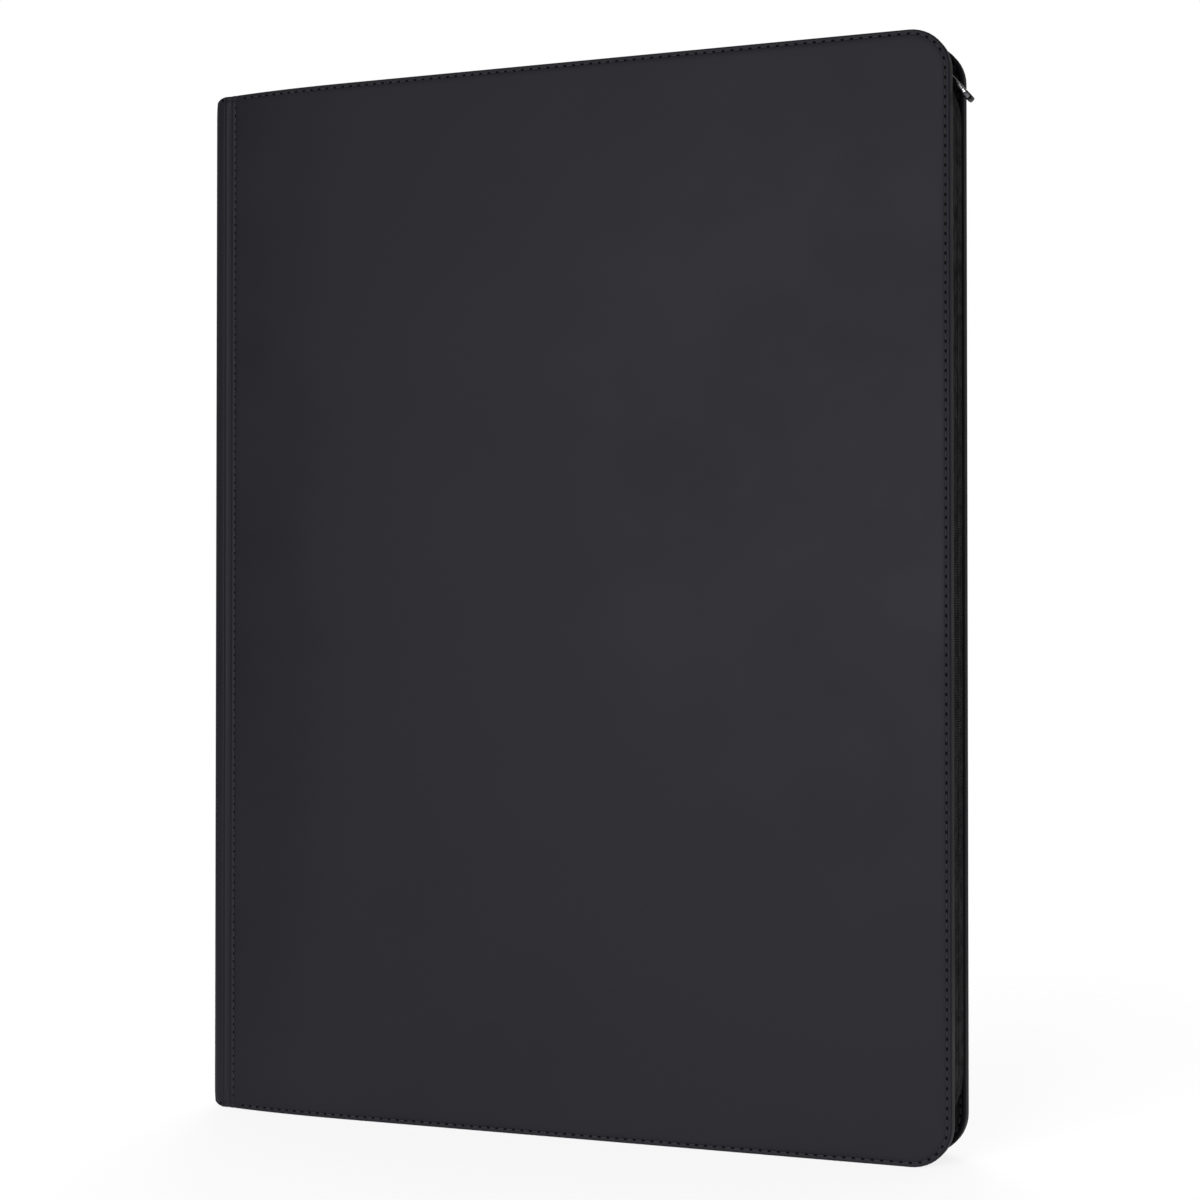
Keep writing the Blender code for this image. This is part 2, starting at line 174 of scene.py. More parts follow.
def edge_ring(stations, inset):
    """The points (x, z) of those stations at this inset from the cover's edge."""
    run, turns, side = stations
    radius = max(CORNER - inset, 0.3 * MM)
    centre_x = FORE_X - inset - radius
    centre_z = HEIGHT - inset - radius
    head = [(x, HEIGHT - inset) for x in run]
    head += [(centre_x + radius * math.sin(turn), centre_z + radius * math.cos(turn))
             for turn in turns]
    middle = [(FORE_X - inset, z) for z in side]
    tail = [(x, HEIGHT - z) for x, z in reversed(head)]
    return np.array(head + middle + tail)


def grid_faces(rows, columns, first=0):
    """The quads of a grid of points that are listed row by row."""
    return [(a, a + 1, a + 1 + columns, a + columns) for row in range(rows)
            for a in range(first + row * columns, first + (row + 1) * columns - 1)]


def dress(mesh, finish):
    """Puts a smooth mesh in its finish into the scene, as a piece of the mesh's name."""
    mesh.shade_smooth()
    mesh.materials.append(finish)
    made = bpy.data.objects.new(mesh.name, mesh)
    bpy.context.collection.objects.link(made)
    return made


def grow_cover_layer(name, side, stations, profile, finish, inner=None):
    """One layer of a cover. The profile lists its rings from the outer face over the edge, each
    as an inset from the edge and the distance from the parting plane at any x. inner adds a
    flat inner face at that distance."""
    run, turns, fore = stations
    columns = len(run) + len(turns)
    rows = len(fore) + 1
    rings = []
    for inset, far in profile:
        flat = edge_ring(stations, inset)
        away = side * far(flat[:, 0]) * np.ones(len(flat))
        rings.append(np.column_stack([flat[:, 0], away, flat[:, 1]]))
    points = np.concatenate(rings)
    faces = grid_faces(len(rings) - 1, len(rings[0]))

    def fill_field(ring, far):
        """The field inside a ring, in columns from head to tail."""
        faces.extend(grid_faces(rows, columns, len(points)))
        share = np.linspace(0, 1, rows + 1)[:, None]
        head = ring[:columns]
        tail = ring[::-1][:columns]
        x = np.repeat(head[None, :, 0], rows + 1, 0)
        z = head[None, :, 2] * (1 - share) + tail[None, :, 2] * share
        field = np.column_stack([x.ravel(), side * far(x.ravel()), z.ravel()])
        return np.concatenate([points, field])

    points = fill_field(rings[0], profile[0][1])
    if inner is not None:
        points = fill_field(rings[-1], lambda x: np.full(len(x), inner))
    mesh = bpy.data.meshes.new(name)
    mesh.from_pydata(points.tolist(), [], faces)
    work = bmesh.new()
    work.from_mesh(mesh)
    bmesh.ops.remove_doubles(work, verts=work.verts, dist=0.01 * MM)
    if inner is not None:
        open_edges = [edge for edge in work.edges if edge.is_boundary]
        bmesh.ops.holes_fill(work, edges=open_edges)
    bmesh.ops.recalc_face_normals(work, faces=work.faces)
    work.to_mesh(mesh)
    work.free()
    face_centre = Vector((0, side * HALF, HEIGHT / 2))
    middle = min(mesh.polygons, key=lambda p: (p.center - face_centre).length)
    if middle.normal.y * side < 0:
        mesh.flip_normals()
    return dress(mesh, finish)


FOAM_COVER = 1.1 * MM  # of skin and glue over the foam
FOAM_LEAST = 0.1 * MM
FOAM_EDGE = ((9.0, 0.0), (3.0, 0.05), (1.8, 0.25), (1.45, 0.55))  # inset and drop, mm
COARSE = 6 * MM  # between the stations of layers that are plain cloth or foam
foam, shader, place = new_finish("foam", 0.95, specular=0.2)
cells = feed(foam, "TexVoronoi", {"Vector": place, "Scale": 2200.0})
tone = feed(foam, "TexNoise", {"Vector": place, "Scale": 60.0, "Detail": 2.0})
mottle(foam, shader, tone, (0.55, 0.53, 0.47), (0.68, 0.66, 0.60))
raise_grain(foam, shader, cells, 0.15 * MM)
for word, side in COVERS:
    low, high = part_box(f"{word}_cover_padding")
    inside = min(abs(low.y), abs(high.y))
    layer_profile = [(inset * MM, lambda x, drop=drop, inside=inside: np.maximum(
        outer_face(x) - FOAM_COVER - drop * MM, inside + FOAM_LEAST))
        for inset, drop in FOAM_EDGE]
    padding = grow_cover_layer(f"{word}_padding", side, edge_stations(low.x, COARSE),
                               layer_profile, foam, inside)
    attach(padding, f"{word}_cover")
    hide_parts(f"{word}_cover_padding")


# Cover skins: matte black leatherette, a soft film on a knitted back, drawn over the padding,
# folded round the board's edges and pulled down in a shallow groove under the edge stitching.
GROOVE = 0.34 * MM
SKIN = 0.55 * MM
SKIN_END = HINGE_X - 1.2 * MM
OUTER_ROUND = 0.8 * MM
INNER_ROUND = 0.6 * MM
EDGE_DROP = 0.10 * MM  # of the outer face where it starts to round over
EDGE_HIGHLIGHT_REACH = 0.9 * MM  # how far in from an edge the painted highlight on the rounded edge reaches
HINGE_PULL = 0.16 * MM  # how deep the hinge stitching pulls the skin down
HINGE_PULL_WIDTH = 0.5 * MM

leather, shader, place = new_finish("leatherette", 0.5, specular=0.11)
pebble = feed(leather, "TexVoronoi", {"Vector": place, "Scale": 1700.0}, feature="SMOOTH_F1")
crinkle = feed(leather, "TexNoise", {"Vector": place, "Scale": 3600.0, "Detail": 3.0})
clouds = feed(leather, "TexNoise", {"Vector": place, "Scale": 26.0, "Detail": 4.0})
relief = feed(leather, "Math", {0: pebble, 1: crinkle}, operation="MULTIPLY")
base_tone = colour_between(leather, spread(leather, clouds, 0.0, 1.0),
                           (0.0168, 0.0158, 0.0212), (0.0192, 0.0181, 0.0238))
# Painted highlight: the rim share makes the colour lighter near the rounded edges, broken up by the
# crinkle noise.
edge_highlight_share = feed(leather, "Attribute", {}, "Fac", attribute_name="edge_highlight_share")
painted_edge_highlight = feed(leather, "Math", {0: edge_highlight_share, 1: spread(leather, crinkle, 0.25, 0.6)},
              operation="MULTIPLY")
leather_tone = feed(leather, "MixRGB", {"Fac": painted_edge_highlight, "Color1": base_tone,
                                        "Color2": (0.034, 0.033, 0.039, 1)})
tint(leather, shader, leather_tone)
vary_roughness(leather, shader, spread(leather, clouds, 0.50, 0.58))
raise_grain(leather, shader, relief, 0.020 * MM, 0.6)


def mark_edge_highlight(made, amount):
    """Keeps, for each point, how strongly the painted highlight on the rounded edges shows there: a
    number from 0 to 1.
    """
    attribute = made.data.attributes.new("edge_highlight_share", "FLOAT", "POINT")
    points = np.array([v.co for v in made.data.vertices])
    attribute.data.foreach_set("value", amount(points).astype(np.float32))


def settle(made):
    """Applies the modifiers for good."""
    evaluated = made.evaluated_get(bpy.context.evaluated_depsgraph_get())
    mesh = bpy.data.meshes.new_from_object(evaluated)
    made.modifiers.clear()
    made.data = mesh
    return made


def thicken(made, thickness):
    """Gives a sheet its thickness, on the side away from its normals."""
    shell = made.modifiers.new("thickness", "SOLIDIFY")
    shell.thickness = thickness
    shell.offset = -1
    bpy.context.view_layer.update()
    return settle(made)


def skin_profile():
    """Rings over a cover's edge, from the field over the groove and the edge to the turn-in."""
    rings = []
    inset_mm = STITCH_INSET / MM
    for inset, depth in ((9.0, 0.0), (6.0, 0.01), (4.2, 0.03), (3.3, 0.05),
                         (inset_mm + 0.75, 0.08), (inset_mm + 0.4, 0.18),
                         (inset_mm, GROOVE / MM), (inset_mm - 0.4, 0.17), (0.85, 0.12)):
        rings.append((inset * MM, lambda x, d=depth: outer_face(x) - d * MM))
    for step in range(1, 7):
        turn = math.pi / 2 * step / 6
        rings.append((OUTER_ROUND * (1 - math.sin(turn)),
                      lambda x, c=math.cos(turn): outer_face(x) - EDGE_DROP - (1 - c) *
                      np.minimum(OUTER_ROUND, 0.5 * (outer_face(x) - COVER_INSIDE))))
    for step in range(5):
        turn = math.pi / 2 * step / 4
        rings.append((INNER_ROUND * (1 - math.cos(turn)),
                      lambda x, s=math.sin(turn): COVER_INSIDE + INNER_ROUND * (1 - s)))
    for inset, under in ((0.9, 0.03), (1.15, 0.25), (2.4, 0.5)):  # on under the lining
        rings.append((inset * MM, lambda x, u=under: np.full(len(x), COVER_INSIDE + u * MM)))
    return rings


skin_stations = edge_stations(SKIN_END, STITCH / 2)
for word, side in COVERS:
    skin = grow_cover_layer(f"{word}_skin", side, skin_stations, skin_profile(), leather)
    for vertex in skin.data.vertices:
        near = math.exp(-((vertex.co.x - HINGE_X) / HINGE_PULL_WIDTH) ** 2)
        if abs(vertex.co.y) > COVER_INSIDE + 2 * INNER_ROUND:
            vertex.co.y -= side * HINGE_PULL * near
    # Painted highlight: the skin's colour is lighter in a band along its fore edge, head and tail.
    mark_edge_highlight(skin, lambda p: np.clip(1 - np.minimum.reduce(
        [FORE_X - p[:, 0], p[:, 2], HEIGHT - p[:, 2]]) / EDGE_HIGHLIGHT_REACH, 0, 1)
        * (np.abs(p[:, 1]) > COVER_INSIDE + EDGE_HIGHLIGHT_REACH))
    thicken(skin, SKIN)
    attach(skin, f"{word}_cover")
    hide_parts(f"{word}_cover_skin")


# Cover linings: smooth black lining cloth glued to the inside of each board, with its edge under
# the same row of stitches that holds the zip's tape and the skin.
LINING_INSET = 1.4 * MM
LINING_EDGE = ((1.0, 0.0), (0.05, 0.0), (0.0, 0.1), (0.0, 0.3), (0.1, 0.43), (0.4, 0.5))
lining_cloth, shader, place = new_finish("lining_cloth", 0.8, specular=0.35)
warp = feed(lining_cloth, "TexWave", {"Vector": place, "Scale": 820.0, "Distortion": 0.6,
                                      "Detail": 1.0}, "Fac", bands_direction="X")
weft = feed(lining_cloth, "TexWave", {"Vector": place, "Scale": 820.0, "Distortion": 0.6,
                                      "Detail": 1.0}, "Fac", bands_direction="Z")
cloth_weave = feed(lining_cloth, "Math", {0: warp, 1: weft}, operation="MULTIPLY")
slub = feed(lining_cloth, "TexNoise", {"Vector": place, "Scale": 90.0, "Detail": 4.0})
mottle(lining_cloth, shader, slub, (0.013, 0.013, 0.015), (0.021, 0.021, 0.024))
vary_roughness(lining_cloth, shader, spread(lining_cloth, slub, 0.74, 0.86))
raise_grain(lining_cloth, shader, cloth_weave, 0.05 * MM, 0.8)

for word, side in COVERS:
    low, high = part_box(f"{word}_cover_lining")
    far = max(abs(low.y), abs(high.y))
    lining_profile = [(LINING_INSET + inset * MM,
                       lambda x, depth=depth, far=far: np.full(len(x), far - depth * MM))
                      for inset, depth in LINING_EDGE]
    lining = grow_cover_layer(f"{word}_lining", side, edge_stations(low.x, COARSE),
                              lining_profile, lining_cloth, COVER_INSIDE)
    lining.data.shade_flat()
    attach(lining, f"{word}_cover")
    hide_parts(f"{word}_cover_lining")


# Spine skin: the same leatherette, one piece with the covers' skins on the real binder. It is
# glued to the curved spine board, and its head and tail are turned in and stitched.
SPINE_START = 4.07 * MM  # from the hinge stitching to where the fold ends and the spine begins
SPINE_TURN_IN = 2.6 * MM
FOLD_TURN_IN = 2.2 * MM
PULLED = 7 * MM  # how far in from the head and tail the edge stitching pulls the leather
HEAD_DIP = 1.5 * MM  # how far the spine's middle ends short of the covers
WRAP_ENDS = [(0.0, 1.3), (0.08, 0.85), (0.3, 0.42), (0.6, 0.20), (1.0, 0.17), (1.4, 0.34),
             (1.8, 0.18), (2.15, 0.08), (3.3, 0.05), (4.2, 0.03), (6.5, 0.0)]  # up and in, mm
spine_low, spine_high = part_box("spine_skin")
SPINE_CENTRE = spine_high.x


def wrap_leather(name, section, outward, turn_in, finish, flattened=None, dips=0.0):
    """Leather of one section all the way up, with its head and tail turned in over a rounded
    edge. section is a list of (x, y), and outward the unit normals there. flattened is the
    section that the edge stitching pulls it to at the head and the tail, and dips how far each
    point of the section ends short there."""
    section, outward = np.array(section), np.array(outward)
    flattened = section if flattened is None else np.array(flattened)
    ends = [(0.0, turn_in / MM)] + WRAP_ENDS
    up = [(z * MM, d * MM) for z, d in ends]
    up += [(z, 0.0) for z in np.linspace(12 * MM, HEIGHT - 12 * MM, 24)]
    up += [(HEIGHT - z * MM, d * MM) for z, d in reversed(ends)]
    points = []
    for z, depth in up:
        nearness = max(0.0, 1 - min(z, HEIGHT - z) / PULLED)
        flat = section + (flattened - section) * nearness ** 1.5 - outward * depth
        short = dips * nearness * np.ones(len(section))
        heights = z + short if z < HEIGHT / 2 else z - short
        points += [(x, y, up_to) for (x, y), up_to in zip(flat, heights)]
    wide = len(section)
    mesh = bpy.data.meshes.new(name)
    mesh.from_pydata(points, [], grid_faces(len(up) - 1, wide))
    middle = mesh.polygons[(len(up) // 2) * (wide - 1) + wide // 2]
    if middle.normal.dot(Vector((*outward[wide // 2], 0))) < 0:
        mesh.flip_normals()
    made = dress(mesh, finish)
    # Painted highlight: the colour is lighter along the head and tail.
    mark_edge_highlight(made, lambda p: np.clip(1 - np.minimum(p[:, 2], HEIGHT - p[:, 2]) / EDGE_HIGHLIGHT_REACH, 0, 1))
    return thicken(made, SKIN)


bulge = SPINE_CENTRE - spine_low.x
spine_half = hinge_half - 0.05 * MM
skew = SPINE_START - (HINGE_X - SPINE_CENTRE)
spine_section, spine_outward = [], []
for step in range(49):
    turn = math.pi * (step / 48 - 0.5)
    x = SPINE_CENTRE - skew - (bulge - skew) * math.cos(turn)
    spine_section.append((x, spine_half * math.sin(turn)))
    normal = Vector((-math.cos(turn) / (bulge - skew), math.sin(turn) / spine_half)).normalized()
    spine_outward.append(tuple(normal))
head_dips = HEAD_DIP * np.array([-out_x for out_x, out_y in spine_outward]) ** 2
spine_skin = wrap_leather("spine_leather", spine_section, spine_outward, SPINE_TURN_IN, leather,
                          dips=head_dips)
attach(spine_skin, "spine")
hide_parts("spine_skin")


# Hinge folds: the stretch of skin between each cover and the spine, with nothing stiff under it.
# It is pressed into a shallow crease beside the stitching.
FOLD = [(-1.2, 9.78), (-1.4, 9.66), (-1.6, 9.46), (-1.8, 9.28), (-2.0, 9.22), (-2.2, 9.30),
        (-2.5, 9.50), (-2.9, 9.66), (-3.4, 9.73), (-4.07, 9.75)]  # x from the stitching, |y|
for word, side in COVERS:
    section = [(HINGE_X + x * MM, side * (y - FOLD[-1][1]) * MM + side * spine_half)
               for x, y in FOLD]
    outward = [(0.0, float(side))] * len(section)
    flattened = [(x, section[0][1] + (section[-1][1] - section[0][1]) * step / (len(FOLD) - 1))
                 for step, (x, y) in enumerate(section)]
    fold = wrap_leather(f"{word}_fold", section, outward, FOLD_TURN_IN, leather, flattened)
    if word == "front":
        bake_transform(fold)
    else:
        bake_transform(fold)


# Spine lining and binding strip: lining cloth on the inside of the spine, and the cloth-covered
# strip over it that the pages' margins are welded and sewn to.
def rounded_bar(name, low, high, radius, finish):
    """A bar with rounded edges between two corners."""
    mesh = bpy.data.meshes.new(name)
    work = bmesh.new()
    bmesh.ops.create_cube(work, size=1.0)
    for vertex in work.verts:
        vertex.co = Vector([low[i] + (high[i] - low[i]) * (vertex.co[i] + 0.5) for i in range(3)])
    bmesh.ops.bevel(work, geom=work.edges, offset=radius, segments=3, affect="EDGES", profile=0.5)
    work.to_mesh(mesh)
    work.free()
    made = dress(mesh, finish)
    mesh.set_sharp_from_angle(angle=math.radians(50))
    return made


low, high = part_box("spine_lining")
spine_lining = rounded_bar("spine_inner_lining", low, high, 0.2 * MM, lining_cloth)
strip_low, strip_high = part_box("page_binding_strip")
binding_strip = rounded_bar("binding_strip", strip_low, strip_high, 0.6 * MM, lining_cloth)
for piece, node in ((spine_lining, "spine_lining"), (binding_strip, "page_binding_strip")):
    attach(piece, "spine")
    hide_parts(node)


# Hinge linings: a strip of the same cloth inside each hinge, from the cover's lining to the
# spine's, sagging loosely between them.
HINGE_LINING = 0.25 * MM
HINGE_LINING_END = 1.9 * MM  # from head and tail
LINING_LAP = 1.0 * MM
LINING_SAG = 0.7 * MM
for word, side in COVERS:
    cover_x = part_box(f"{word}_cover_lining")[0].x + LINING_LAP
    spine_x = (low.x + high.x) / 2
    points = []
    across, rows = 15, 24
    for row in range(rows + 1):
        z = HINGE_LINING_END + (HEIGHT - 2 * HINGE_LINING_END) * row / rows
        for step in range(across):
            share = step / (across - 1)
            sag = LINING_SAG * math.sin(math.pi * share)
            y = (COVER_INSIDE + 0.35 * MM) * share + (high.y + 0.1 * MM) * (1 - share) + sag
            points.append((spine_x + (cover_x - spine_x) * share, side * y, z))
    mesh = bpy.data.meshes.new(f"{word}_hinge_lining")
    mesh.from_pydata(points, [], grid_faces(rows, across))
    if mesh.polygons[0].normal.y * side > 0:
        mesh.flip_normals()
    hinge_lining = thicken(dress(mesh, lining_cloth), HINGE_LINING)
    if word == "front":
        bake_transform(hinge_lining)
    else:
        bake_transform(hinge_lining)


# Stitching: black bonded polyester thread, one lockstitch row round the three open edges and one
# along each hinge. Each stitch lies in the groove and dives into the needle holes at its ends.
HINGE_STITCH = 2.7 * MM
HINGE_STITCH_END = 4.5 * MM
THREAD = 0.36 * MM  # its width, lying flat
SUNK = 0.30 * MM  # how far below the face the needle holes are
thread, shader, place = new_finish("thread", 0.55, specular=0.5)
strand = feed(thread, "UVMap", {}, uv_map="lay")
plies = feed(thread, "TexWave", {"Vector": strand, "Scale": 1.1, "Distortion": 0.3}, "Fac",
             bands_direction="DIAGONAL")
fuzz = feed(thread, "TexNoise", {"Vector": place, "Scale": 5000.0, "Detail": 2.0})
tint(thread, shader, colour_between(thread, plies, (0.016, 0.016, 0.019), (0.036, 0.036, 0.042)))
vary_roughness(thread, shader, spread(thread, fuzz, 0.45, 0.62))
raise_grain(thread, shader, plies, 0.06 * MM)

# Needle holes: near-black colour on shallow dishes at each needle place, painted shade for the dark
# inside of the holes.
painted_hole_shade, shader, place = new_finish("needle_hole_painted_shade", 0.95, specular=0.1)
fibres = feed(painted_hole_shade, "TexNoise", {"Vector": place, "Scale": 4000.0, "Detail": 2.0})
tint(painted_hole_shade, shader, colour_between(painted_hole_shade, fibres, (0.0012, 0.0012, 0.0014), (0.0045, 0.0045, 0.005)))
raise_grain(painted_hole_shade, shader, fibres, 0.03 * MM)


def link_mesh(name, points, faces, finish, uvs=None):
    """A smooth mesh object, with its lay coordinates if they are given."""
    mesh = bpy.data.meshes.new(name)
    mesh.from_pydata([tuple(p) for p in points], [], faces)
    if uvs is not None:
        layer = mesh.uv_layers.new(name="lay")
        for loop in mesh.loops:
            layer.data[loop.index].uv = uvs[loop.vertex_index]
    return dress(mesh, finish)


def tube_faces(rings, sides, first=0):
    """The quads round a tube of rings of points, and a face over each end."""
    faces = []
    for ring in range(first, first + (rings - 1) * sides, sides):
        for k in range(sides):
            a, b = ring + k, ring + (k + 1) % sides
            faces.append((a, b, b + sides, a + sides))
    last = first + (rings - 1) * sides
    start_face = tuple(range(first + sides - 1, first - 1, -1))
    return faces + [start_face, tuple(range(last, last + sides))]


def face_outwards(made):
    """Turns every face of a closed mesh outwards."""
    work = bmesh.new()
    work.from_mesh(made.data)
    bmesh.ops.recalc_face_normals(work, faces=work.faces)
    work.to_mesh(made.data)
    work.free()


def sew(name, spots, pitch, body, hole_size=1.0):
    """A row of stitches with the needle holes between them. spots is a list of (place, direction
    along the row, direction out of the surface) at the needle holes."""
    random.seed(name)
    points, faces, uvs = [], [], []
    hole_points, hole_faces = [], []
    rings, sides = 9, 8
    for first, second in zip(spots, spots[1:]):
        start, end = first[0], second[0]
        if (end - start).length > 1.6 * pitch:
            continue
        along = (end - start).normalized()
        out = ((first[2] + second[2]) / 2).normalized()
        across = along.cross(out)
        base = len(points)
        twist = random.uniform(-0.05, 0.05)
        for ring in range(rings):
            t = 2 * ring / (rings - 1) - 1
            reach = 0.5 + 0.41 * t
            rise = (0.16 * (1 - t ** 4) - 0.30 * abs(t) ** 5) * MM
            centre = start + (end - start) * reach + out * rise + across * twist * t * 0.4 * MM
            girth = THREAD / 2 * math.sqrt(max(0.02, 1 - t ** 8))
            for k in range(sides):
                turn = 2 * math.pi * k / sides
                points.append(centre + across * girth * math.cos(turn)
                              + out * 0.75 * girth * math.sin(turn))
                uvs.append((ring / (rings - 1) * 4, k / sides))
        faces += tube_faces(rings, sides, base)
    # A shallow near-black dish at each needle place is painted shade for the hole.
    for spot, along, out in spots:
        across = along.cross(out)
        base = len(hole_points)
        hole_points.append(spot + out * 0.04 * MM)
        for k in range(10):
            turn = 2 * math.pi * k / 10
            rim_spot = spot + out * 0.12 * MM
            hole_points.append(rim_spot + along * hole_size * 0.62 * MM * math.cos(turn)
                               + across * hole_size * 0.36 * MM * math.sin(turn))
        hole_faces += [(base, base + 1 + k, base + 1 + (k + 1) % 10) for k in range(10)]
    stitches = link_mesh(name, points, faces, thread, uvs)
    face_outwards(stitches)
    holes = link_mesh(f"{name}_holes", hole_points, hole_faces, painted_hole_shade)
    for piece in (stitches, holes):
        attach(piece, body)


def edge_row(side, far, start, inset):
    """Needle places at one inset round a cover's three open edges."""
    path = edge_ring(edge_stations(start, STITCH / 2), inset)
    lengths = np.concatenate([[0], np.cumsum(np.linalg.norm(np.diff(path, axis=0), axis=1))])
    count = round(lengths[-1] / STITCH)
    spots = []
    for s in np.linspace(0, lengths[-1], count + 1)[1:-1]:
        x, z = (np.interp(s, lengths, path[:, i]) for i in (0, 1))
        x2, z2 = (np.interp(s + 0.1 * MM, lengths, path[:, i]) for i in (0, 1))
        spots.append((Vector((x, side * float(far(x)), z)),
                      Vector((x2 - x, 0, z2 - z)).normalized(), Vector((0, side, 0))))
    return spots


for word, side in COVERS:
    row = edge_row(side, lambda x: outer_face(x) - SUNK, HINGE_X + 1.0 * MM, STITCH_INSET)
    sew(f"{word}_edge_stitches", row, STITCH, f"{word}_cover")
    inner_row = [(p, a, -o) for p, a, o in edge_row(side, lambda x: COVER_INSIDE - 0.02 * MM,
                                                    HINGE_X + 3.0 * MM, STITCH_INSET + 0.35 * MM)]
    sew(f"{word}_inner_stitches", inner_row, STITCH, f"{word}_cover")
    count = round((HEIGHT - 2 * HINGE_STITCH_END) / HINGE_STITCH)
    hinge_row = [(Vector((HINGE_X, side * (hinge_half - 0.12 * MM), z)), Vector((0, 0, 1)),
                  Vector((0, side, 0)))
                 for z in np.linspace(HINGE_STITCH_END, HEIGHT - HINGE_STITCH_END, count + 1)]
    sew(f"{word}_hinge_stitches", hinge_row, HINGE_STITCH, f"{word}_cover", 0.7)
for word, edge, inwards in (("head", HEIGHT, -1), ("tail", 0.0, 1)):
    curve = np.array(spine_section) - np.array(spine_outward) * SUNK
    lengths = np.concatenate([[0], np.cumsum(np.linalg.norm(np.diff(curve, axis=0), axis=1))])
    row = []
    first = 1.2 * MM
    for s in np.linspace(first, lengths[-1] - first, round(lengths[-1] / STITCH)):
        x, y = (np.interp(s, lengths, curve[:, i]) for i in (0, 1))
        out_x, out_y = (np.interp(s, lengths, np.array(spine_outward)[:, i]) for i in (0, 1))
        out = Vector((out_x, out_y, 0)).normalized()
        z = edge + inwards * (STITCH_INSET + 0.8 * float(np.interp(s, lengths, head_dips)))
        row.append((Vector((x, y, z)), Vector((-out.y, out.x, 0)), out))
    sew(f"spine_{word}_stitches", row, STITCH, "spine")


# Page margins: the soft film that each page is hung by, welded in a row on the binding strip.
page_film, shader, place = new_finish("page_film", 0.32, specular=0.5)
haze = feed(page_film, "TexNoise", {"Vector": place, "Scale": 55.0, "Detail": 4.0})
frosting = feed(page_film, "TexNoise", {"Vector": place, "Scale": 2600.0, "Detail": 2.0})
mottle(page_film, shader, haze, (0.020, 0.020, 0.023), (0.034, 0.034, 0.038))
vary_roughness(page_film, shader, spread(page_film, haze, 0.26, 0.42))
raise_grain(page_film, shader, frosting, 0.02 * MM, 0.5)

page_names = sorted(n for n in frame["nodes"] if n.startswith("page_") and n[5:].isdigit())
margin_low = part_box("page_margins")[0]
MARGIN_HALF = 0.06 * MM
MARGIN_LAP = 0.4 * MM  # over the page that it hangs
RIPPLE = 0.02 * MM
for number, page in enumerate(page_names):
    low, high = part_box(page)
    middle = (low.y + high.y) / 2
    columns, rows = 14, 20
    points, faces = [], []
    for face in (1, -1):
        for row in range(rows + 1):
            for column in range(columns + 1):
                share = column / columns
                x = margin_low.x + (low.x + MARGIN_LAP - margin_low.x) * share
                ripple = RIPPLE * math.sin(row * 1.7 + number) * math.sin(math.pi * share)
                points.append((x, middle + face * MARGIN_HALF + ripple,
                               low.z + (high.z - low.z) * row / rows))
    wide = columns + 1
    back = wide * (rows + 1)
    for row in range(rows):
        for column in range(columns):
            a = row * wide + column
            faces.append((a, a + wide, a + wide + 1, a + 1))
            faces.append((back + a, back + a + 1, back + a + wide + 1, back + a + wide))
    for column in range(columns):
        last = rows * wide + column
        faces.append((column, column + 1, back + column + 1, back + column))
        faces.append((last, back + last, back + last + 1, last + 1))
    for row in range(rows):
        a, b = row * wide, row * wide + columns
        faces.append((a, back + a, back + a + wide, a + wide))
        faces.append((b, b + wide, back + b + wide, back + b))
    margin = link_mesh(f"{page}_margin", points, faces, page_film)
    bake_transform(margin)
    if number == 0:
        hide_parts("page_margins")


# Pages: a dark middle sheet with a clear pocket film on each face, welded along the pocket lines.
# The pockets load from the side, so each film is open along a slit at the spine side.
SEAM = 3.0 * MM
PAGE_CORNER = 4.0 * MM
SHEET_HALF = 0.09 * MM
FILM_OUT = 0.105 * MM  # from the sheet's middle to a film's welded edge
FILM_SWELL = 0.10 * MM
pocket_film, shader, place = new_finish("pocket_film", 0.12, specular=0.6)
wave = feed(pocket_film, "TexNoise", {"Vector": place, "Scale": 34.0, "Detail": 3.0})
mottle(pocket_film, shader, wave, (0.045, 0.046, 0.052), (0.065, 0.066, 0.074))
vary_roughness(pocket_film, shader, spread(pocket_film, wave, 0.09, 0.20))
raise_grain(pocket_film, shader, wave, 0.12 * MM, 0.5)
shader.inputs["Alpha"].default_value = 0.55

page_low, page_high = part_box(page_names[0])
pocket_width = (page_high.x - page_low.x - 4 * SEAM) / 3
pocket_height = (page_high.z - page_low.z - 4 * SEAM) / 3
sheet_outline = [(page_low.x, page_low.z)]
for step in range(9):
    turn = math.pi / 2 * step / 8
    sheet_outline.append((page_high.x - PAGE_CORNER * (1 - math.sin(turn)),
                          page_low.z + PAGE_CORNER * (1 - math.cos(turn))))
for step in range(9):
    turn = math.pi / 2 * step / 8
    sheet_outline.append((page_high.x - PAGE_CORNER * (1 - math.cos(turn)),
                          page_high.z - PAGE_CORNER * (1 - math.sin(turn))))
sheet_outline.append((page_low.x, page_high.z))
around = len(sheet_outline)
sheet_points = [(x, face * SHEET_HALF, z) for face in (-1, 1) for x, z in sheet_outline]
sheet_faces = [tuple(range(around)), tuple(reversed(range(around, 2 * around)))]
sheet_faces += [(i + around, (i + 1) % around + around, (i + 1) % around, i) for i in range(around)]
film_points, film_faces = [], []
